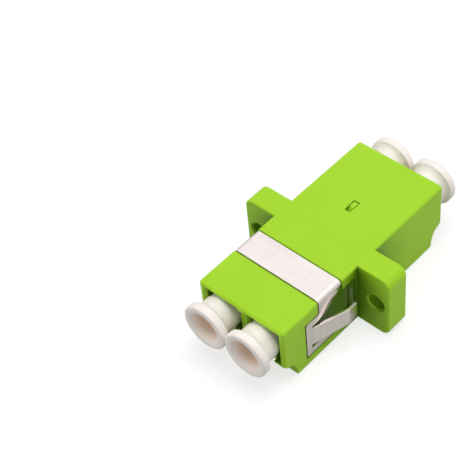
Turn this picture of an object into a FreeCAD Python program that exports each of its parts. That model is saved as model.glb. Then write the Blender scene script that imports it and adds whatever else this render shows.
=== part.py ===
"""Duplex fibre optic coupler with a panel flange, a spring clip and four dust caps.

All sizes are millimetres. X runs across the two ports, Y along them and Z up.
The clip end of the housing is at -Y and the open end, which takes the sleeve
holder, is at +Y. The origin lies in the panel face of the flange, midway
between its two holes.
"""
import FreeCAD, Part
import math
import os

# Housing envelope
BODY_LENGTH = 29.2
BODY_EDGE_RADIUS = 0.4
SIDE_WALL = 0.95
WALL_OVER_PORTS = 0.8
LATCH_WALL = 0.8

# Panel flange, centred along the body
FLANGE_WIDTH = 22.0
FLANGE_THICKNESS = 3.2
FLANGE_CORNER_RADIUS = 1.2
FLANGE_EDGE_RADIUS = 0.2
HOLE_EDGE_DISTANCE = 2.0
HOLE_DIAMETER = 2.3
HOLE_CHAMFER = 0.2

# Ports, with the space for a plug's latch under each
PORT_PITCH = 6.25
PORT_WIDTH = 4.65
PORT_HEIGHT = 5.0
PORT_LEAD_IN = 0.35
DIVIDER_SETBACK = 0.5
RAIL_WIDTH = 0.7
RAIL_HEIGHT = 0.75
EAR_SPACE_WIDTH = 4.55
EAR_SPACE_HEIGHT = 0.8
LATCH_CHANNEL_WIDTH = 2.2
LATCH_CHANNEL_DEPTH = 1.25
WEB_THICKNESS = 1.3

# Latch side: windows for the latch ears, and the set-back end
EAR_WINDOW_WIDTH = 0.85
EAR_WINDOW_LENGTH = 2.85
EAR_WINDOW_SETBACK = 4.3
END_PROFILE = ((0.0, -1.4), (1.3, -2.0), (1.9, -3.0), (2.2, -4.7))

# Snap windows for the sleeve holder's nibs
SNAP_WINDOW_WIDTH = 0.9
SNAP_WINDOW_LENGTH = 1.95
SNAP_WINDOW_SETBACK = 8.35
SNAP_GAP = 0.15
SNAP_NIB_SINK = 0.05
SNAP_RAMP = 0.8

# Barrels and split sleeves on the two optical axes
SLEEVE_LENGTH = 6.8
SLEEVE_DIAMETER = 1.62
SLEEVE_BORE = 1.25
SLEEVE_SLIT = 0.3
SLEEVE_FLOAT = 0.15
SLEEVE_CLEARANCE = 0.065
BARREL_DIAMETER = 2.9
BARREL_LIP = 0.6
BARREL_LIP_BORE = 1.45
BARREL_LEAD_IN = 0.2

# Sleeve holder, pushed in from the open end
HOLDER_CLEARANCE = 0.1
HOLDER_PLATE = 1.2
DIVIDER_FOOT_WIDTH = 0.7

# Spring clip, folded from flat strip
CLIP_THICKNESS = 0.3
CLIP_BEND_RADIUS = 0.6
CLIP_BAND_START = -6.85
CLIP_BAND_END = -2.95
CLIP_LEG_FRONT = -9.15
CLIP_SHOULDER_Z = 2.55
CLIP_FOOT_Z = -3.1
CLIP_FOOT_HEIGHT = 0.95
CLIP_CORNER_RADIUS = 0.25
CLIP_NECK_WIDTH = 0.8
CLIP_NECK_Z = 1.8
CLIP_SWEEP_SAG = 0.22
CLIP_FOLD_RADIUS = 0.24
CLIP_LUG_Y = -1.1
CLIP_LUG_TOP = 1.7
CLIP_LUG_REACH = 0.4
FINGER_ROOT_Y = -8.1
FINGER_TOP = 1.25
FINGER_BOTTOM = -1.65
FINGER_BEND_Y = -3.35
FINGER_BEND_BOTTOM = -1.25
FINGER_TIP_Y = -2.1
FINGER_SPREAD = 1.55
FINGER_TIP_BOTTOM = -0.8
CLIP_SLIT = 0.25

# Clip recess in the housing
CLIP_FLOOR_GAP = 0.02
CLIP_SIDE_GAP = 0.2
RECESS_END = -0.35
RECESS_TOP = 3.1
POCKET_DEPTH = 0.28
POCKET_START = -8.0
POCKET_TOP = 2.8
POCKET_BOTTOM = -2.0
LUG_SLOT_FRONT = 0.1
LUG_SLOT_GAP = 0.05

# Dust caps
CAP_CLEARANCE = 0.075
CAP_COLLAR_DIAMETER = 4.76
CAP_PROTRUSION = 3.05
CAP_RIM_DIAMETER = 6.15
CAP_RIM_EDGE = 0.8
CAP_RIM_ROUND = 0.25
CAP_MOUTH_DIAMETER = 4.6
CAP_FLARE_RADIUS = 1.0
CAP_WALL = 0.55
CAP_BORE_DEPTH = 11.0
CAP_BORE_END_DIAMETER = 3.0
CAP_BELL_DEPTH = 1.2
CAP_NOSE_OVERLAP = 1.6
CAP_NOSE_WALL = 0.5
CAP_SEAT_GAP = 0.2
CAP_END_CHAMFER = 0.25

# Places worked out from the sizes
BODY_WIDTH = PORT_PITCH + PORT_WIDTH + 2 * SIDE_WALL
PORT_SPACE_HEIGHT = LATCH_CHANNEL_DEPTH + EAR_SPACE_HEIGHT + RAIL_HEIGHT + PORT_HEIGHT
BODY_HEIGHT = LATCH_WALL + PORT_SPACE_HEIGHT + WALL_OVER_PORTS
HALF_WIDTH = BODY_WIDTH / 2
HALF_HEIGHT = BODY_HEIGHT / 2
CLIP_END = FLANGE_THICKNESS / 2 - BODY_LENGTH / 2
OPEN_END = FLANGE_THICKNESS / 2 + BODY_LENGTH / 2
CENTRE_Y = FLANGE_THICKNESS / 2
PORT_X = PORT_PITCH / 2
PORT_TOP = HALF_HEIGHT - WALL_OVER_PORTS
PORT_Z = PORT_TOP - PORT_HEIGHT / 2
PORT_BOTTOM = PORT_TOP - PORT_HEIGHT
RAIL_BOTTOM = PORT_BOTTOM - RAIL_HEIGHT
EAR_SPACE_BOTTOM = RAIL_BOTTOM - EAR_SPACE_HEIGHT
CHANNEL_BOTTOM = EAR_SPACE_BOTTOM - LATCH_CHANNEL_DEPTH
CAVITY_HALF_WIDTH = PORT_X + PORT_WIDTH / 2
EAR_HALF_WIDTH = PORT_X + EAR_SPACE_WIDTH / 2
EAR_WINDOW_OFFSET = (EAR_SPACE_WIDTH - EAR_WINDOW_WIDTH) / 2
HOLE_PITCH = FLANGE_WIDTH - 2 * HOLE_EDGE_DISTANCE
WEB_FACE = CENTRE_Y - WEB_THICKNESS
BARREL_REACH = SLEEVE_LENGTH / 2 + SLEEVE_FLOAT + BARREL_LIP
BARREL_BORE = SLEEVE_DIAMETER + 2 * SLEEVE_CLEARANCE
BARREL_TIP_DEPTH = BODY_LENGTH / 2 - BARREL_REACH
SNAP_Y0 = OPEN_END - SNAP_WINDOW_SETBACK - SNAP_WINDOW_LENGTH
SNAP_Y1 = OPEN_END - SNAP_WINDOW_SETBACK
DIVIDER_WIDTH = PORT_PITCH - PORT_WIDTH
BEYOND = 1.0
MEASURE_ERROR = 0.001


def vec(x, y, z):
    return FreeCAD.Vector(x, y, z)


def block(x0, x1, y0, y1, z0, z1):
    """Box between two corners."""
    return Part.makeBox(x1 - x0, y1 - y0, z1 - z0, vec(x0, y0, z0))


def rod(x, z, y0, y1, diameter):
    """Round bar along Y."""
    return Part.makeCylinder(diameter / 2, y1 - y0, vec(x, y0, z), vec(0, 1, 0))


def cone(x, z, y0, y1, diameter0, diameter1):
    """Tapered bar along Y."""
    return Part.makeCone(diameter0 / 2, diameter1 / 2, y1 - y0, vec(x, y0, z), vec(0, 1, 0))


def profile_face(points):
    """Flat face inside a closed outline of straight edges."""
    return Part.Face(Part.makePolygon(points + points[:1]))


def join(shapes):
    """One solid from several that touch or overlap."""
    return shapes[0].multiFuse(shapes[1:]).removeSplitter()


def mirror_x(shape):
    return shape.mirror(vec(0, 0, 0), vec(1, 0, 0))


def edges_along(shape, axis, wanted):
    """Straight edges along one axis whose middle passes a test."""
    found = []
    for edge in shape.Edges:
        ends = [v.Point for v in edge.Vertexes]
        if len(ends) == 2 and abs((ends[1] - ends[0]).normalize()[axis]) > 0.999:
            if wanted((ends[0] + ends[1]) * 0.5):
                found.append(edge)
    return found


def outer_shell():
    """Body block and flange, moulded as one."""
    body = block(-HALF_WIDTH, HALF_WIDTH, CLIP_END, OPEN_END, -HALF_HEIGHT, HALF_HEIGHT)
    body = body.makeFillet(BODY_EDGE_RADIUS, body.Edges)
    flange = block(-FLANGE_WIDTH / 2, FLANGE_WIDTH / 2, 0, FLANGE_THICKNESS, -HALF_HEIGHT, HALF_HEIGHT)
    flange = flange.makeFillet(FLANGE_CORNER_RADIUS, edges_along(flange, 1, lambda p: True))
    rims = [e for e in flange.Edges if e.BoundBox.YLength < MEASURE_ERROR]
    flange = flange.makeFillet(FLANGE_EDGE_RADIUS, rims)
    return join([body, flange])


def flange_hole(x):
    """Through hole with a small chamfer at both faces."""
    wide = HOLE_DIAMETER + 2 * HOLE_CHAMFER
    shaft = rod(x, 0, -BEYOND, FLANGE_THICKNESS + BEYOND, HOLE_DIAMETER)
    front = cone(x, 0, 0, HOLE_CHAMFER, wide, HOLE_DIAMETER)
    back = cone(x, 0, FLANGE_THICKNESS - HOLE_CHAMFER, FLANGE_THICKNESS, HOLE_DIAMETER, wide)
    return join([shaft, front, back])


def stepped_bar(x, top, levels, y0, y1):
    """Bar along Y with a stepped section: levels are (half width, bottom) pairs from the top down."""
    right = []
    z = top
    for half, bottom in levels:
        right += [vec(x + half, y0, z), vec(x + half, y0, bottom)]
        z = bottom
    left = [vec(2 * x - p.x, y0, p.z) for p in reversed(right)]
    return profile_face(right + left).extrude(vec(0, y1 - y0, 0))


def port_space(x, y0, y1):
    """Square port with a neck between its rails, then the ear space and the latch channel."""
    half = PORT_WIDTH / 2
    levels = [(half, PORT_BOTTOM), (half - RAIL_WIDTH, RAIL_BOTTOM),
              (EAR_SPACE_WIDTH / 2, EAR_SPACE_BOTTOM), (LATCH_CHANNEL_WIDTH / 2, CHANNEL_BOTTOM)]
    return stepped_bar(x, PORT_TOP, levels, y0, y1)


def holder_space():
    """Wide cavity of the open half, with a slot for the divider's foot."""
    upper = [(CAVITY_HALF_WIDTH, PORT_BOTTOM), (CAVITY_HALF_WIDTH - RAIL_WIDTH, RAIL_BOTTOM),
             (EAR_HALF_WIDTH, EAR_SPACE_BOTTOM)]
    slot = DIVIDER_FOOT_WIDTH / 2 + HOLDER_CLEARANCE / 2
    channel = LATCH_CHANNEL_WIDTH / 2
    parts = [stepped_bar(0, PORT_TOP, upper, CENTRE_Y, OPEN_END)]
    for x, half in ((-PORT_X, channel), (0, slot), (PORT_X, channel)):
        parts.append(block(x - half, x + half, CENTRE_Y, OPEN_END, CHANNEL_BOTTOM, EAR_SPACE_BOTTOM))
    return join(parts)


def mouth_lead_in(half_width, x, y, inward):
    """Bevel that widens a mouth at the top and the sides, from the end face inwards."""
    half = half_width
    wide = half + PORT_LEAD_IN
    near = [vec(x - wide, y, PORT_BOTTOM), vec(x + wide, y, PORT_BOTTOM),
            vec(x + wide, y, PORT_TOP + PORT_LEAD_IN), vec(x - wide, y, PORT_TOP + PORT_LEAD_IN)]
    deep = y + inward * PORT_LEAD_IN
    far = [vec(x - half, deep, PORT_BOTTOM), vec(x + half, deep, PORT_BOTTOM),
           vec(x + half, deep, PORT_TOP), vec(x - half, deep, PORT_TOP)]
    return Part.makeLoft([Part.makePolygon(near + near[:1]), Part.makePolygon(far + far[:1])], True)


def divider_nose_cut(y_end, inward):
    """Space in front of the divider and its rails, which start behind the end face."""
    half = DIVIDER_WIDTH / 2
    rails = half + RAIL_WIDTH
    outside = y_end - inward * BEYOND
    nose = y_end + inward * DIVIDER_SETBACK
    shoulder = nose + inward * PORT_LEAD_IN
    outline = [vec(-half, outside, PORT_BOTTOM), vec(half, outside, PORT_BOTTOM),
               vec(half, shoulder, PORT_BOTTOM), vec(half - PORT_LEAD_IN, nose, PORT_BOTTOM),
               vec(PORT_LEAD_IN - half, nose, PORT_BOTTOM), vec(-half, shoulder, PORT_BOTTOM)]
    y0, y1 = sorted((outside, shoulder))
    return join([profile_face(outline).extrude(vec(0, 0, PORT_HEIGHT)),
                 block(-rails, rails, y0, y1, END_PROFILE[0][1], PORT_BOTTOM)])


def latch_end_cut(y_end, inward):
    """Prism across the width that sets the latch side back and slopes the walls to it."""
    side = -HALF_WIDTH - BEYOND
    outside = y_end - inward * BEYOND
    outline = [vec(side, outside, END_PROFILE[0][1])]
    outline += [vec(side, y_end + inward * step, z) for step, z in END_PROFILE]
    outline += [vec(side, outline[-1].y, -HALF_HEIGHT - BEYOND), vec(side, outside, -HALF_HEIGHT - BEYOND)]
    return profile_face(outline).extrude(vec(BODY_WIDTH + 2 * BEYOND, 0, 0))


def ear_windows():
    """Rows of slots where the latch ears of the plugs click in, four at each end."""
    half = EAR_WINDOW_WIDTH / 2
    inside = EAR_SPACE_BOTTOM + EAR_SPACE_HEIGHT / 2
    rows = [(CLIP_END + EAR_WINDOW_SETBACK, CLIP_END + EAR_WINDOW_SETBACK + EAR_WINDOW_LENGTH),
            (OPEN_END - EAR_WINDOW_SETBACK - EAR_WINDOW_LENGTH, OPEN_END - EAR_WINDOW_SETBACK)]
    slots = []
    for y0, y1 in rows:
        for port in (-PORT_X, PORT_X):
            for side in (-1, 1):
                x = port + side * EAR_WINDOW_OFFSET
                slots.append(block(x - half, x + half, y0, y1, -HALF_HEIGHT - BEYOND, inside))
    return slots


def snap_windows():
    """Windows through the top and the latch wall, on the centre line."""
    half = SNAP_WINDOW_WIDTH / 2
    top = block(-half, half, SNAP_Y0, SNAP_Y1, PORT_TOP - BEYOND, HALF_HEIGHT + BEYOND)
    bottom = block(-half, half, SNAP_Y0, SNAP_Y1, -HALF_HEIGHT - BEYOND, CHANNEL_BOTTOM + BEYOND)
    return [top, bottom]


def band_recess():
    """Groove round the top edges, in which the clip's band lies flush."""
    inner_x = HALF_WIDTH - CLIP_THICKNESS - CLIP_FLOOR_GAP
    inner_z = HALF_HEIGHT - CLIP_THICKNESS - CLIP_FLOOR_GAP
    y0 = CLIP_BAND_START - CLIP_SIDE_GAP
    y1 = CLIP_BAND_END + CLIP_SIDE_GAP
    floor = CLIP_SHOULDER_Z + CLIP_SIDE_GAP
    core = block(-inner_x, inner_x, y0 - BEYOND, y1 + BEYOND, 0, inner_z)
    corners = edges_along(core, 1, lambda p: p.z > inner_z / 2)
    core = core.makeFillet(CLIP_BEND_RADIUS - CLIP_THICKNESS, corners)
    around = block(-HALF_WIDTH - BEYOND, HALF_WIDTH + BEYOND, y0, y1, floor, HALF_HEIGHT + BEYOND)
    return around.cut(core)


def side_recess():
    """Shallow recess in one side wall for the clip's leg, with the deeper places behind it."""
    floor_x = HALF_WIDTH - CLIP_THICKNESS - CLIP_FLOOR_GAP
    pocket_x = floor_x - POCKET_DEPTH
    out_x = HALF_WIDTH + BEYOND
    front = CLIP_LEG_FRONT - CLIP_SIDE_GAP
    foot = CLIP_FOOT_Z - CLIP_SIDE_GAP
    shoulder = CLIP_SHOULDER_Z + CLIP_SIDE_GAP
    leg = block(floor_x, out_x, front, RECESS_END, foot, shoulder)
    rear = block(floor_x, out_x, CLIP_BAND_START, RECESS_END, 0, RECESS_TOP)
    slot_front = CLIP_LUG_Y - LUG_SLOT_FRONT
    pocket = block(pocket_x, out_x, POCKET_START, slot_front, POCKET_BOTTOM, POCKET_TOP)
    slot = block(HALF_WIDTH - CLIP_THICKNESS - CLIP_LUG_REACH - LUG_SLOT_GAP, out_x,
                 slot_front, CLIP_LUG_Y + CLIP_THICKNESS + CLIP_SIDE_GAP,
                 foot, CLIP_LUG_TOP + LUG_SLOT_GAP)
    return join([leg, rear, pocket, slot])


def barrel(x, y_root, direction):
    """Tube that holds half of a split sleeve, from its wall to its lipped tip."""
    tip = CENTRE_Y + direction * BARREL_REACH
    y0, y1 = sorted((y_root, tip))
    tube = rod(x, PORT_Z, y0, y1, BARREL_DIAMETER)
    tip_edges = [e for e in tube.Edges
                 if abs(e.CenterOfMass.y - tip) < MEASURE_ERROR and e.BoundBox.YLength < MEASURE_ERROR]
    return tube.makeChamfer(BARREL_LEAD_IN, tip_edges)


def barrel_bore(x, direction):
    """Sleeve seat and ferrule hole of one barrel, with a tapered mouth."""
    tip = CENTRE_Y + direction * BARREL_REACH
    lip_start = tip - direction * BARREL_LIP
    mouth = tip - direction * BARREL_LEAD_IN
    seat0, seat1 = sorted((CENTRE_Y - direction * BEYOND * 3, lip_start))
    hole0, hole1 = sorted((CENTRE_Y, tip + direction * BEYOND))
    seat = rod(x, PORT_Z, seat0, seat1, BARREL_BORE)
    hole = rod(x, PORT_Z, hole0, hole1, BARREL_LIP_BORE)
    wide = BARREL_LIP_BORE + 2 * BARREL_LEAD_IN
    if direction > 0:
        taper = cone(x, PORT_Z, mouth, tip, BARREL_LIP_BORE, wide)
    else:
        taper = cone(x, PORT_Z, tip, mouth, wide, BARREL_LIP_BORE)
    return join([seat, hole, taper])


def housing():
    """One-piece housing: shell, flange, web, divider of the clip half and its two barrels."""
    shell = outer_shell()
    cuts = [port_space(x, CLIP_END, WEB_FACE) for x in (-PORT_X, PORT_X)]
    cuts.append(holder_space())
    cuts += [mouth_lead_in(PORT_WIDTH / 2, x, CLIP_END, 1) for x in (-PORT_X, PORT_X)]
    cuts.append(mouth_lead_in(CAVITY_HALF_WIDTH, 0, OPEN_END, -1))
    cuts += [divider_nose_cut(CLIP_END, 1), latch_end_cut(CLIP_END, 1), latch_end_cut(OPEN_END, -1)]
    cuts += ear_windows() + snap_windows()
    cuts += [flange_hole(-HOLE_PITCH / 2), flange_hole(HOLE_PITCH / 2)]
    side = side_recess()
    cuts += [band_recess(), side, mirror_x(side)]
    shell = shell.cut(cuts)
    shell = join([shell] + [barrel(x, WEB_FACE, -1) for x in (-PORT_X, PORT_X)])
    return shell.cut([barrel_bore(x, -1) for x in (-PORT_X, PORT_X)]).removeSplitter()


def snap_nib(up):
    """Nib of the holder with a ramp on the side that enters first; up is +1 or -1."""
    half = SNAP_WINDOW_WIDTH / 2 - SNAP_GAP
    root = PORT_TOP - HOLDER_CLEARANCE if up > 0 else CHANNEL_BOTTOM + HOLDER_CLEARANCE
    face = up * (HALF_HEIGHT - SNAP_NIB_SINK)
    y0 = SNAP_Y0 + SNAP_GAP
    y1 = SNAP_Y1 - SNAP_GAP
    ramp = y0 + SNAP_RAMP
    outline = [vec(-half, y0, root - up * BEYOND), vec(-half, y1, root - up * BEYOND),
               vec(-half, y1, face), vec(-half, ramp, face), vec(-half, y0, root)]
    return profile_face(outline).extrude(vec(2 * half, 0, 0))


def sleeve_holder():
    """Insert with the other two barrels, the divider of the open half and two snap nibs."""
    gap = HOLDER_CLEARANCE
    face = CENTRE_Y + HOLDER_PLATE
    half = CAVITY_HALF_WIDTH - gap
    wall = DIVIDER_WIDTH / 2 - gap / 2
    rail = DIVIDER_WIDTH / 2 + RAIL_WIDTH
    foot = DIVIDER_FOOT_WIDTH / 2
    divider = [(wall, PORT_BOTTOM), (rail, RAIL_BOTTOM), (wall, EAR_SPACE_BOTTOM + gap),
               (foot, CHANNEL_BOTTOM + gap)]
    solids = [
        block(-half, half, CENTRE_Y, face, PORT_BOTTOM + gap, PORT_TOP - gap),
        stepped_bar(0, PORT_TOP - gap, divider, CENTRE_Y, OPEN_END),
        snap_nib(1),
        snap_nib(-1),
    ]
    solids += [barrel(x, face, 1) for x in (-PORT_X, PORT_X)]
    cuts = [barrel_bore(x, 1) for x in (-PORT_X, PORT_X)]
    cuts += [divider_nose_cut(OPEN_END, -1), latch_end_cut(OPEN_END, -1)]
    return join(solids).cut(cuts).removeSplitter()


def split_sleeve(x):
    """Springy ceramic tube with one slit along its whole length."""
    y0 = CENTRE_Y - SLEEVE_LENGTH / 2
    y1 = CENTRE_Y + SLEEVE_LENGTH / 2
    tube = rod(x, PORT_Z, y0, y1, SLEEVE_DIAMETER)
    bore = rod(x, PORT_Z, y0 - BEYOND, y1 + BEYOND, SLEEVE_BORE)
    slit = block(x - SLEEVE_SLIT / 2, x + SLEEVE_SLIT / 2, y0 - BEYOND, y1 + BEYOND,
                 PORT_Z, PORT_Z + SLEEVE_DIAMETER)
    return tube.cut([bore, slit])


def clip_leg_outline():
    """Flat outline of one leg as a wire in the plane x = 0, seen along X."""
    bend_z = HALF_HEIGHT - CLIP_BEND_RADIUS
    foot_top = CLIP_FOOT_Z + CLIP_FOOT_HEIGHT
    r = CLIP_CORNER_RADIUS
    lower_slit = (FINGER_BOTTOM + foot_top) / 2
    corner = math.sqrt(0.5) * r
    upper_slit = FINGER_TOP + CLIP_SLIT
    neck = vec(0, CLIP_BAND_START + CLIP_NECK_WIDTH, CLIP_NECK_Z)
    sweep = (neck + vec(0, CLIP_BAND_END, bend_z)) * 0.5 - vec(0, 0, CLIP_SWEEP_SAG)
    return [
        Part.makeLine(vec(0, CLIP_BAND_START, bend_z), vec(0, CLIP_BAND_START, CLIP_SHOULDER_Z)),
        Part.makeLine(vec(0, CLIP_BAND_START, CLIP_SHOULDER_Z), vec(0, CLIP_LEG_FRONT + r, CLIP_SHOULDER_Z)),
        Part.Arc(vec(0, CLIP_LEG_FRONT + r, CLIP_SHOULDER_Z),
                 vec(0, CLIP_LEG_FRONT + r - corner, CLIP_SHOULDER_Z - r + corner),
                 vec(0, CLIP_LEG_FRONT, CLIP_SHOULDER_Z - r)).toShape(),
        Part.makeLine(vec(0, CLIP_LEG_FRONT, CLIP_SHOULDER_Z - r), vec(0, CLIP_LEG_FRONT, CLIP_FOOT_Z + r)),
        Part.Arc(vec(0, CLIP_LEG_FRONT, CLIP_FOOT_Z + r),
                 vec(0, CLIP_LEG_FRONT + r - corner, CLIP_FOOT_Z + r - corner),
                 vec(0, CLIP_LEG_FRONT + r, CLIP_FOOT_Z)).toShape(),
        Part.makeLine(vec(0, CLIP_LEG_FRONT + r, CLIP_FOOT_Z), vec(0, CLIP_LUG_Y, CLIP_FOOT_Z)),
        Part.makeLine(vec(0, CLIP_LUG_Y, CLIP_FOOT_Z), vec(0, CLIP_LUG_Y, foot_top)),
        Part.makeLine(vec(0, CLIP_LUG_Y, foot_top), vec(0, FINGER_ROOT_Y, foot_top)),
        Part.Arc(vec(0, FINGER_ROOT_Y, foot_top),
                 vec(0, FINGER_ROOT_Y - (FINGER_BOTTOM - foot_top) / 2, lower_slit),
                 vec(0, FINGER_ROOT_Y, FINGER_BOTTOM)).toShape(),
        Part.makeLine(vec(0, FINGER_ROOT_Y, FINGER_BOTTOM), vec(0, FINGER_ROOT_Y, FINGER_TOP)),
        Part.Arc(vec(0, FINGER_ROOT_Y, FINGER_TOP),
                 vec(0, FINGER_ROOT_Y - CLIP_SLIT / 2, FINGER_TOP + CLIP_SLIT / 2),
                 vec(0, FINGER_ROOT_Y, upper_slit)).toShape(),
        Part.makeLine(vec(0, FINGER_ROOT_Y, upper_slit), neck),
        Part.Arc(neck, sweep, vec(0, CLIP_BAND_END, bend_z)).toShape(),
        Part.makeLine(vec(0, CLIP_BAND_END, bend_z), vec(0, CLIP_BAND_START, bend_z)),
    ]


def clip_finger():
    """Spring finger of one leg, spread outwards and narrowing to a tip parallel to the wall."""
    x0 = HALF_WIDTH - CLIP_THICKNESS
    reach = FINGER_BEND_Y - FINGER_ROOT_Y
    length = math.hypot(reach, FINGER_SPREAD)
    side_y = CLIP_THICKNESS * FINGER_SPREAD / length
    side_x = CLIP_THICKNESS * reach / length
    miter = CLIP_THICKNESS * math.tan(math.atan2(FINGER_SPREAD, reach) / 2)
    z = FINGER_BOTTOM
    outline = [
        vec(x0, FINGER_ROOT_Y, z),
        vec(x0 + FINGER_SPREAD, FINGER_BEND_Y + miter, z),
        vec(x0 + FINGER_SPREAD, FINGER_TIP_Y, z),
        vec(x0 + FINGER_SPREAD + CLIP_THICKNESS, FINGER_TIP_Y, z),
        vec(x0 + FINGER_SPREAD + CLIP_THICKNESS, FINGER_BEND_Y, z),
        vec(x0 + side_x, FINGER_ROOT_Y - side_y, z),
    ]
    strip = profile_face(outline).extrude(vec(0, 0, FINGER_TOP - FINGER_BOTTOM))
    taper = profile_face([
        vec(0, FINGER_ROOT_Y, FINGER_BOTTOM),
        vec(0, FINGER_BEND_Y, FINGER_BEND_BOTTOM),
        vec(0, FINGER_TIP_Y, FINGER_TIP_BOTTOM),
        vec(0, FINGER_TIP_Y + BEYOND, FINGER_TIP_BOTTOM),
        vec(0, FINGER_TIP_Y + BEYOND, FINGER_BOTTOM - BEYOND),
        vec(0, FINGER_ROOT_Y, FINGER_BOTTOM - BEYOND),
    ]).extrude(vec(FLANGE_WIDTH, 0, 0))
    return strip.cut(taper)


def clip_lug():
    """Lug at the end of the foot, folded into the slot in the side wall."""
    inner = HALF_WIDTH - CLIP_THICKNESS - CLIP_LUG_REACH
    lug = block(inner, HALF_WIDTH, CLIP_LUG_Y, CLIP_LUG_Y + CLIP_THICKNESS, CLIP_FOOT_Z, CLIP_LUG_TOP)
    fold = edges_along(lug, 2, lambda p: p.x > inner + CLIP_THICKNESS and p.y > CLIP_LUG_Y)
    return lug.makeFillet(CLIP_FOLD_RADIUS, fold)


def spring_clip():
    """Strip folded over the top of the housing, with a latching finger on each side."""
    bend_z = HALF_HEIGHT - CLIP_BEND_RADIUS
    bend_x = HALF_WIDTH - CLIP_BEND_RADIUS
    inner = CLIP_BEND_RADIUS - CLIP_THICKNESS
    band = block(-bend_x, bend_x, CLIP_BAND_START, CLIP_BAND_END, HALF_HEIGHT - CLIP_THICKNESS, HALF_HEIGHT)
    ring = rod(bend_x, bend_z, CLIP_BAND_START, CLIP_BAND_END, 2 * CLIP_BEND_RADIUS)
    ring = ring.cut(rod(bend_x, bend_z, CLIP_BAND_START, CLIP_BAND_END, 2 * inner))
    bend = ring.common(block(bend_x, HALF_WIDTH, CLIP_BAND_START, CLIP_BAND_END, bend_z, HALF_HEIGHT))
    leg = Part.Face(Part.Wire(clip_leg_outline())).extrude(vec(CLIP_THICKNESS, 0, 0))
    leg.translate(vec(HALF_WIDTH - CLIP_THICKNESS, 0, 0))
    right = join([bend, leg, clip_finger(), clip_lug()])
    return join([band, right, mirror_x(right)])


def dust_cap_profile():
    """Half section of a cap: X is the radius and Y the distance out of the port's end face."""
    plug = PORT_WIDTH / 2 - CAP_CLEARANCE
    collar = CAP_COLLAR_DIAMETER / 2
    rim = CAP_RIM_DIAMETER / 2
    seat = BARREL_TIP_DEPTH - CAP_SEAT_GAP
    nose = BARREL_TIP_DEPTH + CAP_NOSE_OVERLAP
    socket = plug - CAP_NOSE_WALL
    throat = plug - CAP_WALL
    mouth = CAP_MOUTH_DIAMETER / 2
    lip = rim - CAP_RIM_ROUND
    front = CAP_PROTRUSION - CAP_RIM_ROUND
    corner = math.sqrt(0.5) * CAP_RIM_ROUND

    flare = CAP_FLARE_RADIUS
    flare_angle = math.acos((collar + flare - rim) / flare)
    flare_end = front - CAP_RIM_EDGE
    flare_start = flare_end - flare * math.sin(flare_angle)
    flare_middle = (collar + flare - flare * math.cos(flare_angle / 2),
                    flare_start + flare * math.sin(flare_angle / 2))

    bell = (CAP_BELL_DEPTH ** 2 + (mouth - throat) ** 2) / (2 * (mouth - throat))
    bell_angle = math.asin(CAP_BELL_DEPTH / bell)
    bell_start = CAP_PROTRUSION - CAP_BELL_DEPTH
    bell_middle = (throat + bell - bell * math.cos(bell_angle / 2),
                   bell_start + bell * math.sin(bell_angle / 2))
    bore_end = CAP_PROTRUSION - CAP_BORE_DEPTH

    def line(a, b):
        return Part.makeLine(vec(a[0], a[1], 0), vec(b[0], b[1], 0))

    def arc(a, b, c):
        return Part.Arc(vec(a[0], a[1], 0), vec(b[0], b[1], 0), vec(c[0], c[1], 0)).toShape()

    return [
        line((0, -seat), (socket, -seat)),
        line((socket, -seat), (socket, -nose)),
        line((socket, -nose), (plug - CAP_END_CHAMFER, -nose)),
        line((plug - CAP_END_CHAMFER, -nose), (plug, CAP_END_CHAMFER - nose)),
        line((plug, CAP_END_CHAMFER - nose), (plug, -PORT_LEAD_IN)),
        line((plug, -PORT_LEAD_IN), (collar, 0)),
        line((collar, 0), (collar, flare_start)),
        arc((collar, flare_start), flare_middle, (rim, flare_end)),
        line((rim, flare_end), (rim, front)),
        arc((rim, front), (lip + corner, front + corner), (lip, CAP_PROTRUSION)),
        line((lip, CAP_PROTRUSION), (mouth, CAP_PROTRUSION)),
        arc((mouth, CAP_PROTRUSION), bell_middle, (throat, bell_start)),
        line((throat, bell_start), (CAP_BORE_END_DIAMETER / 2, bore_end)),
        line((CAP_BORE_END_DIAMETER / 2, bore_end), (0, bore_end)),
        line((0, bore_end), (0, -seat)),
    ]


def dust_cap(x, y_end, outward):
    """Cap turned about its port's axis and set in that port."""
    face = Part.Face(Part.Wire(dust_cap_profile()))
    cap = face.revolve(vec(0, 0, 0), vec(0, 1, 0), 360)
    if outward < 0:
        cap.rotate(vec(0, 0, 0), vec(0, 0, 1), 180)
    cap.translate(vec(x, y_end, PORT_Z))
    return cap


def main():
    os.makedirs("parts", exist_ok=True)
    nodes = {
        "housing": housing(),
        "sleeve_holder": sleeve_holder(),
        "split_sleeve_left": split_sleeve(-PORT_X),
        "split_sleeve_right": split_sleeve(PORT_X),
        "spring_clip": spring_clip(),
        "dust_cap_front_left": dust_cap(-PORT_X, CLIP_END, -1),
        "dust_cap_front_right": dust_cap(PORT_X, CLIP_END, -1),
        "dust_cap_rear_left": dust_cap(-PORT_X, OPEN_END, 1),
        "dust_cap_rear_right": dust_cap(PORT_X, OPEN_END, 1),
    }
    for name, shape in nodes.items():
        shape.exportStep(f"parts/{name}.step")
        print(f"{name}: {len(shape.Solids)} solid, valid {shape.isValid()}, {shape.Volume:.3f} mm3")


main()
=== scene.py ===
"""A duplex fibre optic coupler of lime green plastic, with a steel panel clip and four dust caps.

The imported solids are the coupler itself. This script dresses the housing, the
sleeve holder, the clip and the ceramic sleeves, and turns a soft moulded cap in
place of each plain one.
"""

import logging
import math
from dataclasses import dataclass, field
from enum import Enum

import bmesh
import bpy
from mathutils import Matrix, Vector


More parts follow.
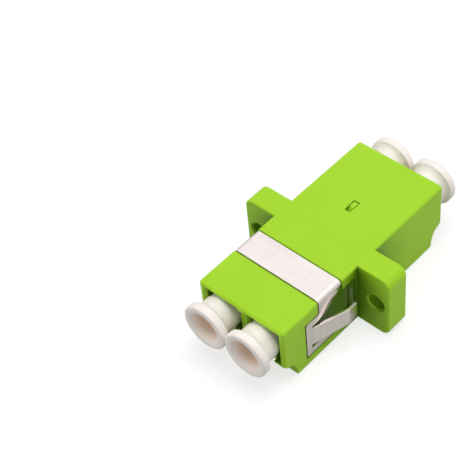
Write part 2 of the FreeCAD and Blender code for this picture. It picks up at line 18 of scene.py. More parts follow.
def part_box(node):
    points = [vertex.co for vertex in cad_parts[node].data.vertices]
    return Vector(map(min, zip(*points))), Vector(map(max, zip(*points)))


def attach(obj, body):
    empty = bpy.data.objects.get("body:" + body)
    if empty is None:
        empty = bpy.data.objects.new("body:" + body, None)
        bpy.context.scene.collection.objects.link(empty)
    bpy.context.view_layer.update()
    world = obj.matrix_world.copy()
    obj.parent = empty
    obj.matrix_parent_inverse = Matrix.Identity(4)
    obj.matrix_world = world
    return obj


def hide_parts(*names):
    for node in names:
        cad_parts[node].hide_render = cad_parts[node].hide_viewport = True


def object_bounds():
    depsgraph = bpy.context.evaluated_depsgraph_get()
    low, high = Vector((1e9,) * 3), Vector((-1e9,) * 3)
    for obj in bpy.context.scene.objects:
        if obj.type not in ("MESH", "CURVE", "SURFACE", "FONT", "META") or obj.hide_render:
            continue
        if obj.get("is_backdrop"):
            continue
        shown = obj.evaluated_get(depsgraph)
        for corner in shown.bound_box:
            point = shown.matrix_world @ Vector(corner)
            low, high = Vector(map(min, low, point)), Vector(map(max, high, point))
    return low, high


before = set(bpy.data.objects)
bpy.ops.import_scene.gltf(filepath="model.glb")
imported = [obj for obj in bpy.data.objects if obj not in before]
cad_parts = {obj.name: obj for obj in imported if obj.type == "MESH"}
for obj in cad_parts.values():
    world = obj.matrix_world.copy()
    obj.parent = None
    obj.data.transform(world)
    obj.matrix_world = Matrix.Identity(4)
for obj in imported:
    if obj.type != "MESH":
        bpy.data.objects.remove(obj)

log = logging.getLogger("coupler")
MM = 0.001
WHITE = (1.0, 1.0, 1.0, 1.0)
BORE_SHADE = "bore_shade"
EDGE_SAMPLES = 6

# The sRGB curve: a straight toe, then a power law
SRGB_TOE_END = 0.04045
SRGB_TOE_SLOPE = 12.92
SRGB_OFFSET = 0.055
SRGB_POWER = 2.4


class CouplerEnd(Enum):
    """The two ends of the coupler, as the direction in which a cap is pulled out."""

    CLIP_END = -1
    OPEN_END = 1


def linear(hex_colour: str) -> tuple[float, float, float, float]:
    """Turn an sRGB hex colour into the linear values that a shader takes.

    Args:
        hex_colour: Six hex digits, with or without a leading hash.

    Returns:
        Linear red, green and blue, and an alpha of one.
    """
    digits = hex_colour.lstrip("#")
    values = [int(digits[i:i + 2], 16) / 255 for i in (0, 2, 4)]
    red, green, blue = (v / SRGB_TOE_SLOPE if v <= SRGB_TOE_END
                        else ((v + SRGB_OFFSET) / (1 + SRGB_OFFSET)) ** SRGB_POWER for v in values)
    return red, green, blue, 1.0


def per_metre(size_mm: float) -> float:
    """Scale of a texture whose features are about size_mm wide, on coordinates in metres."""
    return 1 / (size_mm * MM)


def add_node(tree: bpy.types.NodeTree, kind: str, settings: dict | None = None,
             links: dict | None = None) -> bpy.types.Node:
    """Add one shader node with its settings and incoming links.

    Args:
        tree: Node tree that gets the node.
        kind: Blender's name of the node type.
        settings: Values of its input sockets, by name or number, or properties of the node.
            A property that changes the sockets comes before them.
        links: Output sockets that feed the node's inputs, by the input's name or number.

    Returns:
        The new node.
    """
    node = tree.nodes.new(kind)
    for name, value in (settings or {}).items():
        if isinstance(name, int) or name in node.inputs:
            node.inputs[name].default_value = value
        else:
            setattr(node, name, value)
    for name, source in (links or {}).items():
        tree.links.new(source, node.inputs[name])
    return node


def new_material(name: str) -> tuple[bpy.types.Material, bpy.types.NodeTree]:
    """Make an empty node material.

    Args:
        name: Name of the material, which says what the real one is.

    Returns:
        The material and its node tree.
    """
    material = bpy.data.materials.new(name)
    material.use_nodes = True
    material.node_tree.nodes.clear()
    return material, material.node_tree


def set_ramp(ramp: bpy.types.Node, places: tuple[float, float], colours: tuple[str, str]) -> None:
    """Give a colour ramp its two stops.

    Args:
        ramp: Colour ramp node.
        places: Position of each stop, from low to high.
        colours: Hex colour of each stop.
    """
    for stop, place, colour in zip(ramp.color_ramp.elements, places, colours):
        stop.position = place
        stop.color = linear(colour)


def seen_ray(tree: bpy.types.NodeTree, path: bpy.types.Node) -> bpy.types.NodeSocket:
    """Tell the rays that the eye sees by, also through something clear, from all others.

    Args:
        tree: Node tree that asks.
        path: Its light path node.

    Returns:
        One for such a ray, zero for the others.
    """
    seen = add_node(tree, "ShaderNodeMath", {"operation": "MAXIMUM"},
                    {0: path.outputs["Is Camera Ray"], 1: path.outputs["Is Transmission Ray"]})
    return seen.outputs["Value"]


def add_object(name: str, data: bpy.types.ID) -> bpy.types.Object:
    """Put a mesh, lamp or camera into the scene.

    Args:
        name: Name of the object.
        data: The mesh, lamp or camera.

    Returns:
        The object that holds it.
    """
    thing = bpy.data.objects.new(name, data)
    bpy.context.scene.collection.objects.link(thing)
    return thing


@dataclass(frozen=True)
class Zone:
    """A box on the coupler, with soft walls, where a finish adds or takes off painted shade.

    Its centre and its reach, which is half its size, are millimetres. It comes
    to its full strength at the core, which is a share of the reach.
    """

    centre: tuple[float, float, float]
    reach: tuple[float, float, float]
    strength: float = 1.0
    core: float = 0.98

    def build(self, tree: bpy.types.NodeTree, place: bpy.types.NodeSocket) -> bpy.types.NodeSocket:
        """Find out how far a point lies in the box.

        Args:
            tree: Node tree of the material that asks.
            place: Object coordinates.

        Returns:
            Zero outside the box, its strength inside.
        """
        offset = add_node(tree, "ShaderNodeVectorMath",
                          {"operation": "SUBTRACT", 1: [v * MM for v in self.centre]}, {0: place})
        apart = add_node(tree, "ShaderNodeVectorMath", {"operation": "ABSOLUTE"},
                         {0: offset.outputs["Vector"]})
        share = add_node(tree, "ShaderNodeVectorMath",
                         {"operation": "DIVIDE", 1: [v * MM for v in self.reach]},
                         {0: apart.outputs["Vector"]})
        axes = add_node(tree, "ShaderNodeSeparateXYZ", links={"Vector": share.outputs["Vector"]})
        wider = add_node(tree, "ShaderNodeMath", {"operation": "MAXIMUM"},
                         {0: axes.outputs["X"], 1: axes.outputs["Y"]})
        widest = add_node(tree, "ShaderNodeMath", {"operation": "MAXIMUM"},
                          {0: wider.outputs["Value"], 1: axes.outputs["Z"]})
        inside = add_node(tree, "ShaderNodeMapRange",
                          {"From Min": 1.0, "From Max": self.core, "To Min": 0.0,
                           "To Max": self.strength}, {"Value": widest.outputs["Value"]})
        return inside.outputs["Result"]


@dataclass(frozen=True)
class MouldedPolyester:
    """Injection moulded polyester, opaque lime green.

    The mould's spark-eroded faces leave a very fine grain, so highlights are
    soft. The grain is drawn coarser than the real one, so that it shows. The
    edges are drawn a paler green, a painted highlight. Corners and the clip's
    recess get a deeper green, which is painted shade. This painted shade is left
    off the thin top wall and is weaker on the walls of the screw holes.
    """

    name: str = "moulded_polyester_lime"
    colour: str = "#ABDE2E"
    flow_colour: str = "#A9DB29"
    flow_mm: float = 7.0
    flow_detail: float = 3.0
    flow_roughness: float = 0.55
    flow_stops: tuple[float, float] = (0.35, 0.65)
    # Painted highlight: the edges are drawn this paler green
    edge_highlight_colour: str = "#B6E64A"
    edge_mm: float = 0.18
    edge_from: float = 0.99
    edge_full: float = 0.80
    edge_highlight_strength: float = 0.6
    # Painted shade: corners get this deeper green, the more closed in they are
    painted_shade_colour: str = "#4F7C03"
    crevice_mm: float = 7.0
    crevice_from: float = 0.97
    crevice_full: float = 0.5
    crevice_samples: int = 8
    # Painted shadow over the floor of the clip's recess
    recess: Zone = Zone((0.0, -4.28, 0.5), (6.2, 4.0, 2.75), 0.8)
    # Zones where the painted shade is taken off the top wall and weakened in the screw holes
    top_wall_shade_spared: Zone = Zone((0.0, 6.2, 4.7), (6.35, 10.2, 0.9))
    screw_holes_less_shade: Zone = Zone((0.0, 1.6, 0.0), (10.4, 1.55, 1.3), 0.4)
    ior: float = 1.57
    specular_level: float = 0.18
    roughness: float = 0.32
    roughness_spread: float = 0.05
    grain_mm: float = 0.22
    grain_detail: float = 2.0
    bump: float = 0.05
    bump_mm: float = 0.02
    glow: float = 0.5
    glow_mm: float = 0.5
    glow_reach: tuple[float, float, float] = (0.8, 1.0, 0.3)

    def body_tone(self, tree: bpy.types.NodeTree, place: bpy.types.NodeSocket,
                  rounded: bpy.types.NodeSocket) -> bpy.types.NodeSocket:
        """Colour the plastic, with faint flow clouds and a painted highlight on the edges.

        An edge shows where the rounded normal turns away from the flat one.
        The edge limits are cosines of that turn: where the painted highlight
        starts, and where it is full.

        Args:
            tree: Node tree of the material.
            place: Object coordinates.
            rounded: Normal that turns softly round the edges.

        Returns:
            The colour, before the painted shade in corners deepens it.
        """
        flow = add_node(tree, "ShaderNodeTexNoise",
                        {"Scale": per_metre(self.flow_mm), "Detail": self.flow_detail,
                         "Roughness": self.flow_roughness}, {"Vector": place})
        tint = add_node(tree, "ShaderNodeValToRGB", links={"Fac": flow.outputs["Fac"]})
        set_ramp(tint, self.flow_stops, (self.flow_colour, self.colour))
        flat = add_node(tree, "ShaderNodeNewGeometry").outputs["Normal"]
        turn = add_node(tree, "ShaderNodeVectorMath", {"operation": "DOT_PRODUCT"},
                        {0: rounded, 1: flat})
        edge = add_node(tree, "ShaderNodeMapRange",
                        {"From Min": self.edge_from, "From Max": self.edge_full, "To Min": 0.0,
                         "To Max": self.edge_highlight_strength}, {"Value": turn.outputs["Value"]})
        # The paler edge tone is a painted highlight
        tone = add_node(tree, "ShaderNodeMix",
                        {"data_type": "RGBA", "B": linear(self.edge_highlight_colour)},
                        {"Factor": edge.outputs["Result"], "A": tint.outputs["Color"]})
        return tone.outputs["Result"]

    def painted_shade_share(self, tree: bpy.types.NodeTree,
                      place: bpy.types.NodeSocket) -> bpy.types.NodeSocket:
        """Find out how much painted shade a point gets in a corner or in the clip's recess.

        The crevice limits are shares of open air over the point: where the
        painted shade starts, and where it is full.

        Args:
            tree: Node tree of the material.
            place: Object coordinates.

        Returns:
            The share that the painted shade takes there.
        """
        open_air = add_node(tree, "ShaderNodeAmbientOcclusion",
                            {"samples": self.crevice_samples, "only_local": True,
                             "Distance": self.crevice_mm * MM})
        crevice = add_node(tree, "ShaderNodeMapRange",
                           {"From Min": self.crevice_from, "From Max": self.crevice_full},
                           {"Value": open_air.outputs["AO"]})
        depth = crevice.outputs["Result"]
        # The painted shade is taken off the top wall and weakened in the screw holes
        for spared in (self.top_wall_shade_spared, self.screw_holes_less_shade):
            depth = add_node(tree, "ShaderNodeMath", {"operation": "SUBTRACT"},
                             {0: depth, 1: spared.build(tree, place)}).outputs["Value"]
        # The clip's recess gets a painted shadow of its own
        share = add_node(tree, "ShaderNodeMath", {"operation": "MAXIMUM"},
                         {0: depth, 1: self.recess.build(tree, place)})
        return share.outputs["Value"]

    def build(self) -> bpy.types.Material:
        """Make the material.

        Returns:
            The finished material.
        """
        material, tree = new_material(self.name)
        place = add_node(tree, "ShaderNodeTexCoord").outputs["Object"]
        rounded = add_node(tree, "ShaderNodeBevel",
                           {"samples": EDGE_SAMPLES, "Radius": self.edge_mm * MM}).outputs["Normal"]
        # The painted shade darkens the plastic's colour in corners and the clip's recess
        tone = add_node(tree, "ShaderNodeMix",
                        {"data_type": "RGBA", "B": linear(self.painted_shade_colour)},
                        {"Factor": self.painted_shade_share(tree, place),
                         "A": self.body_tone(tree, place, rounded)})
        grain = add_node(tree, "ShaderNodeTexNoise",
                         {"Scale": per_metre(self.grain_mm), "Detail": self.grain_detail},
                         {"Vector": place})
        gloss = add_node(tree, "ShaderNodeMapRange",
                         {"To Min": self.roughness - self.roughness_spread,
                          "To Max": self.roughness + self.roughness_spread},
                         {"Value": grain.outputs["Fac"]})
        bump = add_node(tree, "ShaderNodeBump",
                        {"Strength": self.bump, "Distance": self.bump_mm * MM},
                        {"Height": grain.outputs["Fac"], "Normal": rounded})
        shader = add_node(tree, "ShaderNodeBsdfPrincipled",
                          {"IOR": self.ior, "Specular IOR Level": self.specular_level,
                           "Subsurface Weight": self.glow, "Subsurface Scale": self.glow_mm * MM,
                           "Subsurface Radius": self.glow_reach},
                          {"Base Color": tone.outputs["Result"],
                           "Roughness": gloss.outputs["Result"],
                           "Normal": bump.outputs["Normal"]})
        add_node(tree, "ShaderNodeOutputMaterial", links={"Surface": shader.outputs["BSDF"]})
        return material


@dataclass(frozen=True)
class RolledSpringSteel:
    """Bright stainless spring strip, as it leaves the rolls.

    Rolling draws faint lines along the strip, so reflections smear across them.
    The lines are drawn coarser than the real ones, so that they show.
    """

    name: str = "rolled_spring_steel"
    colour: str = "#F8EEEB"
    streak_colour: str = "#F2E8E5"
    streak_mm: float = 0.3
    streak_stretch: float = 0.06
    streak_detail: float = 3.0
    streak_stops: tuple[float, float] = (0.3, 0.6)
    edge_mm: float = 0.05
    roughness: float = 0.18
    roughness_spread: float = 0.03
    anisotropy: float = 0.4
    bump: float = 0.03
    bump_mm: float = 0.01

    def build(self) -> bpy.types.Material:
        """Make the material.

        Returns:
            The finished material.
        """
        material, tree = new_material(self.name)
        place = add_node(tree, "ShaderNodeTexCoord").outputs["Object"]
        along = add_node(tree, "ShaderNodeMapping",
                         {"Scale": (self.streak_stretch, 1.0, self.streak_stretch)},
                         {"Vector": place})
        streaks = add_node(tree, "ShaderNodeTexNoise",
                           {"Scale": per_metre(self.streak_mm), "Detail": self.streak_detail},
                           {"Vector": along.outputs["Vector"]})
        tint = add_node(tree, "ShaderNodeValToRGB", links={"Fac": streaks.outputs["Fac"]})
        set_ramp(tint, self.streak_stops, (self.streak_colour, self.colour))
        gloss = add_node(tree, "ShaderNodeMapRange",
                         {"To Min": self.roughness - self.roughness_spread,
                          "To Max": self.roughness + self.roughness_spread},
                         {"Value": streaks.outputs["Fac"]})
        rounded = add_node(tree, "ShaderNodeBevel",
                           {"samples": EDGE_SAMPLES, "Radius": self.edge_mm * MM})
        bump = add_node(tree, "ShaderNodeBump",
                        {"Strength": self.bump, "Distance": self.bump_mm * MM},
                        {"Height": streaks.outputs["Fac"], "Normal": rounded.outputs["Normal"]})
        shader = add_node(tree, "ShaderNodeBsdfPrincipled",
                          {"Metallic": 1.0, "Anisotropic": self.anisotropy},
                          {"Base Color": tint.outputs["Color"],
                           "Roughness": gloss.outputs["Result"],
                           "Normal": bump.outputs["Normal"]})
        add_node(tree, "ShaderNodeOutputMaterial", links={"Surface": shader.outputs["BSDF"]})
        return material


@dataclass(frozen=True)
class SoftPolyethylene:
    """Soft low-density polyethylene, natural off-white and milky.

    Light goes into it and comes out warm some way off, so the cap glows. The
    bore is painted a warmer beige the deeper it goes, as painted shade. The
    surface is a dull satin with faint flow clouds and a moulded grain, which is
    drawn coarser than the real one.
    """

    name: str = "soft_polyethylene_natural"
    colour: str = "#FFF7F2"
    cloud_colour: str = "#FFF4ED"
    cloud_mm: float = 2.5
    cloud_detail: float = 3.0
    cloud_stops: tuple[float, float] = (0.35, 0.65)
    # Painted shade: the bore turns this warmer beige, deeper in
    bore_shade_colour: str = "#FFEAD6"
    ior: float = 1.51
    roughness: float = 0.45
    roughness_spread: float = 0.06
    grain_mm: float = 0.25
    grain_detail: float = 2.0
    bump: float = 0.05
    bump_mm: float = 0.02
    glow: float = 0.1
    glow_mm: float = 1.0
    glow_reach: tuple[float, float, float] = (1.0, 0.8, 0.7)

    def build(self) -> bpy.types.Material:
        """Make the material.

        Returns:
            The finished material.
        """
        material, tree = new_material(self.name)
        place = add_node(tree, "ShaderNodeTexCoord").outputs["Object"]
        clouds = add_node(tree, "ShaderNodeTexNoise",
                          {"Scale": per_metre(self.cloud_mm), "Detail": self.cloud_detail},
                          {"Vector": place})
        tint = add_node(tree, "ShaderNodeValToRGB", links={"Fac": clouds.outputs["Fac"]})
        set_ramp(tint, self.cloud_stops, (self.cloud_colour, self.colour))
        # The bore's painted shade follows the marked depth
        depth = add_node(tree, "ShaderNodeAttribute", {"attribute_name": BORE_SHADE})
        tone = add_node(tree, "ShaderNodeMix",
                        {"data_type": "RGBA", "B": linear(self.bore_shade_colour)},
                        {"Factor": depth.outputs["Fac"], "A": tint.outputs["Color"]})
        grain = add_node(tree, "ShaderNodeTexNoise",
                         {"Scale": per_metre(self.grain_mm), "Detail": self.grain_detail},
                         {"Vector": place})
        gloss = add_node(tree, "ShaderNodeMapRange",
                         {"To Min": self.roughness - self.roughness_spread,
                          "To Max": self.roughness + self.roughness_spread},
                         {"Value": grain.outputs["Fac"]})
        bump = add_node(tree, "ShaderNodeBump",
                        {"Strength": self.bump, "Distance": self.bump_mm * MM},
                        {"Height": grain.outputs["Fac"]})
        shader = add_node(tree, "ShaderNodeBsdfPrincipled",
                          {"IOR": self.ior, "Subsurface Weight": self.glow,
                           "Subsurface Scale": self.glow_mm * MM,
                           "Subsurface Radius": self.glow_reach},
                          {"Base Color": tone.outputs["Result"],
                           "Roughness": gloss.outputs["Result"],
                           "Normal": bump.outputs["Normal"]})
        add_node(tree, "ShaderNodeOutputMaterial", links={"Surface": shader.outputs["BSDF"]})
        return material


@dataclass(frozen=True)
class PolishedZirconia:
    """Sintered and polished zirconia: dense white, slightly warm, with a sharp gloss.

    Its grain is far too fine to see and is drawn as faint specks.
    """

    name: str = "polished_zirconia"
    colour: str = "#EFECE4"
    speck_colour: str = "#E6E2D8"
    speck_mm: float = 0.2
    speck_detail: float = 4.0
    speck_stops: tuple[float, float] = (0.4, 0.6)
    ior: float = 2.1
    roughness: float = 0.15

    def build(self) -> bpy.types.Material:
        """Make the material.

        Returns:
            The finished material.
        """
        material, tree = new_material(self.name)
        place = add_node(tree, "ShaderNodeTexCoord").outputs["Object"]
        specks = add_node(tree, "ShaderNodeTexNoise",
                          {"Scale": per_metre(self.speck_mm), "Detail": self.speck_detail},
                          {"Vector": place})
        tint = add_node(tree, "ShaderNodeValToRGB", links={"Fac": specks.outputs["Fac"]})
        set_ramp(tint, self.speck_stops, (self.speck_colour, self.colour))
        shader = add_node(tree, "ShaderNodeBsdfPrincipled",
                          {"IOR": self.ior, "Roughness": self.roughness},
                          {"Base Color": tint.outputs["Color"]})
        add_node(tree, "ShaderNodeOutputMaterial", links={"Surface": shader.outputs["BSDF"]})
        return material


@dataclass(frozen=True)
class PaleFloor:
    """Matt white paper sweep, which lights the coupler's sides from below.

    The eye sees it white, with the coupler's shadow still on it, and pure
    white from some way off. Gloss sees it greyer, as paper looks in steel.
    """

    name: str = "white_paper_sweep"
    colour: str = "#B8B8B6"
    gloss_colour: str = "#C6C6C4"
    seen_colour: str = "#A8A8A8"
    seen_white: float = 0.68
    shadow_mm: float = 60.0
    white_mm: float = 160.0

    def build(self) -> bpy.types.Material:
        """Make the material.

        Returns:
            The finished material.
        """
        material, tree = new_material(self.name)
        path = add_node(tree, "ShaderNodeLightPath")
        tone = add_node(tree, "ShaderNodeMix",
                        {"data_type": "RGBA", "A": linear(self.colour),
                         "B": linear(self.gloss_colour)},
                        {"Factor": path.outputs["Is Glossy Ray"]})
        paper = add_node(tree, "ShaderNodeBsdfDiffuse", links={"Color": tone.outputs["Result"]})
        shaded = add_node(tree, "ShaderNodeBsdfDiffuse", {"Color": linear(self.seen_colour)})
        place = add_node(tree, "ShaderNodeTexCoord").outputs["Object"]
        away = add_node(tree, "ShaderNodeVectorMath", {"operation": "LENGTH"}, {0: place})
        glow = add_node(tree, "ShaderNodeMapRange",
                        {"From Min": self.shadow_mm * MM, "From Max": self.white_mm * MM,
                         "To Min": self.seen_white, "To Max": 1.0},
                        {"Value": away.outputs["Value"]})
        white = add_node(tree, "ShaderNodeEmission", {"Color": WHITE},
                         {"Strength": glow.outputs["Result"]})
        lit = add_node(tree, "ShaderNodeAddShader",
                       links={0: shaded.outputs["BSDF"], 1: white.outputs["Emission"]})
        out = add_node(tree, "ShaderNodeMixShader",
                       links={"Fac": seen_ray(tree, path), 1: paper.outputs["BSDF"],
                              2: lit.outputs["Shader"]})
        add_node(tree, "ShaderNodeOutputMaterial", links={"Surface": out.outputs["Shader"]})
        return material


def dress(node: str, material: bpy.types.Material) -> None:
    """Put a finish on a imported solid.

    Args:
        node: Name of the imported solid.
        material: Finish that takes every material place of the solid.
    """
    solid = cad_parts[node]
    solid.data.materials.clear()
    solid.data.materials.append(material)
    log.info("%s dressed in %s", node, material.name)


@dataclass
class Mouldings:
    """The two green mouldings: the flanged housing and the sleeve holder inside its open end."""

    nodes: tuple[str, ...] = ("housing", "sleeve_holder")
    finish: MouldedPolyester = field(default_factory=MouldedPolyester)

    def build(self) -> None:
        """Dress both mouldings."""
        material = self.finish.build()
        for node in self.nodes:
            dress(node, material)


@dataclass
class PanelClip:
    """The folded steel strip with its two spring fingers."""

    node: str = "spring_clip"
    finish: RolledSpringSteel = field(default_factory=RolledSpringSteel)

    def build(self) -> None:
        """Dress the clip."""
        dress(self.node, self.finish.build())


@dataclass
class AlignmentSleeves:
    """The two split ceramic sleeves on the optical axes."""

    nodes: tuple[str, ...] = ("split_sleeve_left", "split_sleeve_right")
    finish: PolishedZirconia = field(default_factory=PolishedZirconia)

    def build(self) -> None:
        """Dress both sleeves."""
        material = self.finish.build()
        for node in self.nodes:
            dress(node, material)


@dataclass
class DustCap:
    """One soft dust cap: a tube that plugs the port, flared to a belled rim outside.

    Radii and depths are millimetres. The cap's own box gives its place, its
    rim and its length. Depths count from the rim's face inwards. The crease
    is the width by which its corners are rounded, where they turn more than
    the crease angle, in degrees.
    """

    node: str
    body: str
    end: CouplerEnd
    rim_round: float = 0.25
    rim_edge: float = 0.8
    flare_bend: float = 1.0
    collar_radius: float = 2.38
    collar_end: float = 3.05
    lead_in: float = 0.35
    tube_radius: float = 2.25
    bore_radius: float = 1.7
    mouth_radius: float = 2.3
    bell_depth: float = 1.2
    bell_bend: float = 1.5
    bore_depth: float = 11.0
    bore_end_radius: float = 1.5
    bore_shade_depth: float = 1.2
    nose_wall: float = 0.5
    nose_recess: float = 1.8
    crease: float = 0.22
    crease_steps: int = 4
    crease_angle: float = 50.0
    sides: int = 96
    arc_steps: int = 8
    measure_error: float = 0.01
    merge_distance: float = 0.0001

    def trumpet(self, throat: float, depth: float, bend: float,
                mouth: float) -> list[tuple[float, float]]:
        """Work out an arc that leaves a straight wall and opens towards the rim.

        Args:
            throat: Radius of the straight wall.
            depth: Depth at which the arc leaves the wall.
            bend: Radius of the arc itself.
            mouth: Radius at which the arc ends.

        Returns:
            Radius and depth of its corners, from the wall outwards.
        """
        sweep = math.acos(1 - (mouth - throat) / bend) / self.arc_steps
        return [(throat + bend * (1 - math.cos(i * sweep)), depth - bend * math.sin(i * sweep))
                for i in range(self.arc_steps + 1)]

    def outline(self, rim_radius: float, length: float) -> list[tuple[float, float]]:
        """Work out the half section, from the centre of the blind bore round to the nose.

        Args:
            rim_radius: Outer radius of the rim, in millimetres.
            length: Whole length of the cap, in millimetres.

        Returns:
            Radius and depth of each corner, in millimetres.
        """
        points = [(0.0, self.bore_depth), (self.bore_end_radius, self.bore_depth)]
        points += self.trumpet(self.bore_radius, self.bell_depth, self.bell_bend, self.mouth_radius)
        for i in range(self.arc_steps + 1):
            turn = math.pi / 2 * i / self.arc_steps
            points.append((rim_radius - self.rim_round * (1 - math.sin(turn)),
                           self.rim_round * (1 - math.cos(turn))))
        flare = self.trumpet(self.collar_radius, 0.0, self.flare_bend, rim_radius)
        flare_top = self.rim_round + self.rim_edge - flare[-1][1]
        points += [(radius, flare_top + depth) for radius, depth in reversed(flare)]
        inside = self.tube_radius - self.nose_wall
        points += [(self.collar_radius, self.collar_end),
                   (self.tube_radius, self.collar_end + self.lead_in),
                   (self.tube_radius, length - self.rim_round),
                   (self.tube_radius - self.rim_round, length),
                   (inside, length),
                   (inside, length - self.nose_recess),
                   (0.0, length - self.nose_recess)]
        return points

    def shade_bore(self, shape: bmesh.types.BMesh) -> None:
        """Mark depth in the bore for its painted shade: 0 at the rim, 1 from bore_shade_depth on.

        Args:
            shape: The turned cap, with its rim's face at the origin.
        """
        shade = shape.verts.layers.float.new(BORE_SHADE)
        for vertex in shape.verts:
            depth = abs(vertex.co.y) / MM
            radius = math.hypot(vertex.co.x, vertex.co.z) / MM
            widest = self.mouth_radius if depth < self.bell_depth else self.bore_radius
            if (radius < widest + self.measure_error
                    and depth < self.bore_depth + self.measure_error):
                vertex[shade] = min(1.0, depth / self.bore_shade_depth)

    def turn_shape(self, rim_radius: float, length: float) -> bmesh.types.BMesh:
        """Turn the half section round the port's axis.

        Args:
            rim_radius: Outer radius of the rim, in millimetres.
            length: Whole length of the cap, in millimetres.

        Returns:
            The closed cap, with its rim's face at the origin.
        """
        shape = bmesh.new()
        previous = None
        for radius, depth in self.outline(rim_radius, length):
            place = (radius * MM, -self.end.value * depth * MM, 0.0)
            corner = bmesh.ops.create_vert(shape, co=place)["vert"][0]
            if previous is not None:
                shape.edges.new((previous, corner))
            previous = corner
        bmesh.ops.spin(shape, geom=shape.verts[:] + shape.edges[:], cent=(0, 0, 0), axis=(0, 1, 0),
                       angle=math.tau, steps=self.sides, use_merge=True)
        bmesh.ops.remove_doubles(shape, verts=shape.verts, dist=self.merge_distance * MM)
        bmesh.ops.recalc_face_normals(shape, faces=shape.faces)
        for facet in shape.faces:
            facet.smooth = True
        return shape

    def build(self, material: bpy.types.Material) -> bpy.types.Object:
        """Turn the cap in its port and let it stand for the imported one.

        Args:
            material: Finish of the cap.

        Returns:
            The finished cap.
        """
        low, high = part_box(self.node)
        rim_radius = (high.x - low.x) / 2 / MM
        length = (high.y - low.y) / MM
        face = high.y if self.end is CouplerEnd.OPEN_END else low.y
        centre = Vector(((low.x + high.x) / 2, face, (low.z + high.z) / 2))
        shape = self.turn_shape(rim_radius, length)
        self.shade_bore(shape)
        bmesh.ops.transform(shape, matrix=Matrix.Translation(centre), verts=shape.verts)
        mesh = bpy.data.meshes.new(self.node + "_soft")
        shape.to_mesh(mesh)
        shape.free()
        mesh.materials.append(material)
        cap = add_object(self.node + "_soft", mesh)
        crease = cap.modifiers.new("crisp_corners", "BEVEL")
        crease.width = self.crease * MM
        crease.segments = self.crease_steps
        crease.limit_method = "ANGLE"
        crease.angle_limit = math.radians(self.crease_angle)
        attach(cap, self.body)
        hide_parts(self.node)
        log.info("%s turned, %.2f mm rim, %.2f mm long", cap.name, 2 * rim_radius, length)
        return cap


@dataclass
class DustCaps:
    """The four caps, one in each port."""

    finish: SoftPolyethylene = field(default_factory=SoftPolyethylene)
    places: tuple[tuple[str, CouplerEnd], ...] = (("front", CouplerEnd.CLIP_END),
                                                  ("rear", CouplerEnd.OPEN_END))
    sides: tuple[str, ...] = ("left", "right")

    def build(self) -> list[bpy.types.Object]:
        """Turn all four caps.

        Returns:
            The four finished caps.
        """
        material = self.finish.build()
        caps = []
        for place, end in self.places:
            for side in self.sides:
                cap = DustCap(f"dust_cap_{place}_{side}", f"cap_{place}_{side}", end)
                caps.append(cap.build(material))
        return caps


@dataclass
class PhotoCamera:
    """Camera at the photograph's viewing angle, found by fitting the coupler's edges in it.

    Angles are degrees, lengths millimetres. The azimuth turns from -Y towards +X.
    Nearest and farthest are the limits of what the lens takes in.
    """

    focal_pixels: float = 1345.968
    image_pixels: float = 472.0
    sensor: float = 36.0
    azimuth: float = 47.444
    elevation: float = 47.545
    roll: float = -6.694
    right_of_target: float = 9.469
    above_target: float = -3.601
    distance: float = 159.898
    target: tuple[float, float, float] = (0.0, -0.05, 0.05)
    nearest: float = 10.0
    farthest: float = 10000.0

    def build(self) -> bpy.types.Object:
        """Place the camera and make it the scene's own.

        Returns:
            The camera object.
        """
        azimuth, elevation, roll = (math.radians(a)
                                    for a in (self.azimuth, self.elevation, self.roll))
        back = Vector((math.sin(azimuth) * math.cos(elevation),
                       -math.cos(azimuth) * math.cos(elevation), math.sin(elevation)))
        level = Vector((0, 0, 1)).cross(back).normalized()
        upright = back.cross(level)
        right = math.cos(roll) * level + math.sin(roll) * upright
        up = -math.sin(roll) * level + math.cos(roll) * upright
        place = (Vector(self.target) - right * self.right_of_target - up * self.above_target
                 + back * self.distance)
        data = bpy.data.cameras.new("photo_camera")
        data.sensor_width = self.sensor
        data.lens = self.focal_pixels / self.image_pixels * self.sensor
        data.clip_start = self.nearest * MM
        data.clip_end = self.farthest * MM
        camera = add_object("photo_camera", data)
        turn = Matrix((right, up, back)).transposed().to_4x4()
        camera.matrix_world = Matrix.Translation(place * MM) @ turn
        bpy.context.scene.camera = camera
        log.info("camera placed with a %.1f mm lens", data.lens)
        return camera


@dataclass(frozen=True)
class Softbox:
    """One square soft lamp that faces the coupler. Its place and side are millimetres.

    A lamp that isn't mirrored lights the coupler but leaves no glare in its steel.
    """

    name: str
    place: tuple[float, float, float]
    side: float
    watts: float
    mirrored: bool = False

    def build(self) -> None:
        """Hang the lamp."""
        data = bpy.data.lights.new(self.name, "AREA")
        data.size = self.side * MM
        data.energy = self.watts
        lamp = add_object(self.name, data)
        lamp.location = Vector(self.place) * MM
        lamp.rotation_mode = "QUATERNION"
        lamp.rotation_quaternion = (-Vector(self.place)).to_track_quat("-Z", "Y")
        lamp.visible_glossy = self.mirrored


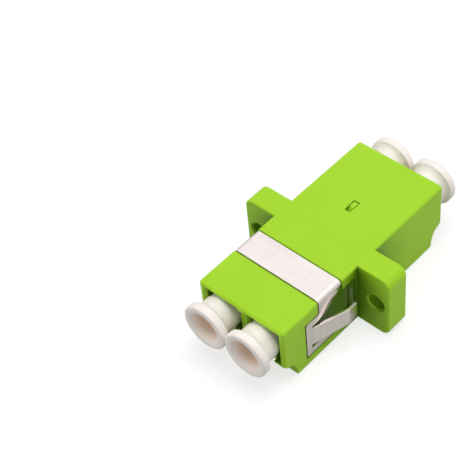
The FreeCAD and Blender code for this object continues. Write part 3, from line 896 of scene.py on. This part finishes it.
@dataclass
class SoftStudio:
    """Pale floor, an even surround and three soft lamps. Lengths are millimetres.

    In gloss the surround has the strength horizon_gloss level with the floor,
    and is white from horizon_height up, the sine of the angle above the floor.
    """

    floor_size: float = 3000.0
    floor_cells: int = 4
    surround_light: float = 0.40
    horizon_gloss: float = 0.6
    horizon_height: float = 0.6
    floor_finish: PaleFloor = field(default_factory=PaleFloor)
    lamps: tuple[Softbox, ...] = (
        Softbox("overhead_softbox", (20.0, 40.0, 450.0), 260.0, 1.0, mirrored=True),
        Softbox("right_rear_softbox", (290.0, 290.0, 150.0), 400.0, 0.5),
        Softbox("left_front_softbox", (-290.0, -290.0, 150.0), 400.0, 0.52))

    def surround(self) -> None:
        """Make the world: white to the eye, greyer low down to gloss, soft light to the rest."""
        world = bpy.data.worlds.new("pale_surround")
        world.use_nodes = True
        tree = world.node_tree
        tree.nodes.clear()
        path = add_node(tree, "ShaderNodeLightPath")
        way = add_node(tree, "ShaderNodeTexCoord").outputs["Generated"]
        height = add_node(tree, "ShaderNodeSeparateXYZ", links={"Vector": way})
        gloss = add_node(tree, "ShaderNodeMapRange",
                         {"From Max": self.horizon_height, "To Min": self.horizon_gloss,
                          "To Max": 1.0}, {"Value": height.outputs["Z"]})
        unseen = add_node(tree, "ShaderNodeMix", {"A": self.surround_light},
                          {"Factor": path.outputs["Is Glossy Ray"], "B": gloss.outputs["Result"]})
        strength = add_node(tree, "ShaderNodeMix", {"B": 1.0},
                            {"Factor": seen_ray(tree, path), "A": unseen.outputs["Result"]})
        light = add_node(tree, "ShaderNodeBackground", {"Color": WHITE},
                         {"Strength": strength.outputs["Result"]})
        add_node(tree, "ShaderNodeOutputWorld", links={"Surface": light.outputs["Background"]})
        bpy.context.scene.world = world

    def floor(self) -> None:
        """Lay the floor just under the coupler."""
        low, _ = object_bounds()
        shape = bmesh.new()
        bmesh.ops.create_grid(shape, x_segments=self.floor_cells, y_segments=self.floor_cells,
                              size=self.floor_size * MM / 2,
                              matrix=Matrix.Translation((0, 0, low.z)))
        mesh = bpy.data.meshes.new("paper_sweep")
        shape.to_mesh(mesh)
        shape.free()
        mesh.materials.append(self.floor_finish.build())
        add_object("paper_sweep", mesh)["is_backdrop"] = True

    def build(self) -> None:
        """Make the whole set and the view settings."""
        self.surround()
        self.floor()
        for lamp in self.lamps:
            lamp.build()
        bpy.context.scene.view_settings.view_transform = "Standard"
        log.info("studio set")


def main() -> None:
    """Build the coupler's looks, the set and the camera."""
    logging.basicConfig(level=logging.INFO, format="%(name)s: %(message)s")
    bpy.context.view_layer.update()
    Mouldings().build()
    PanelClip().build()
    AlignmentSleeves().build()
    DustCaps().build()
    SoftStudio().build()
    PhotoCamera().build()


if __name__ == "__main__":
    main()
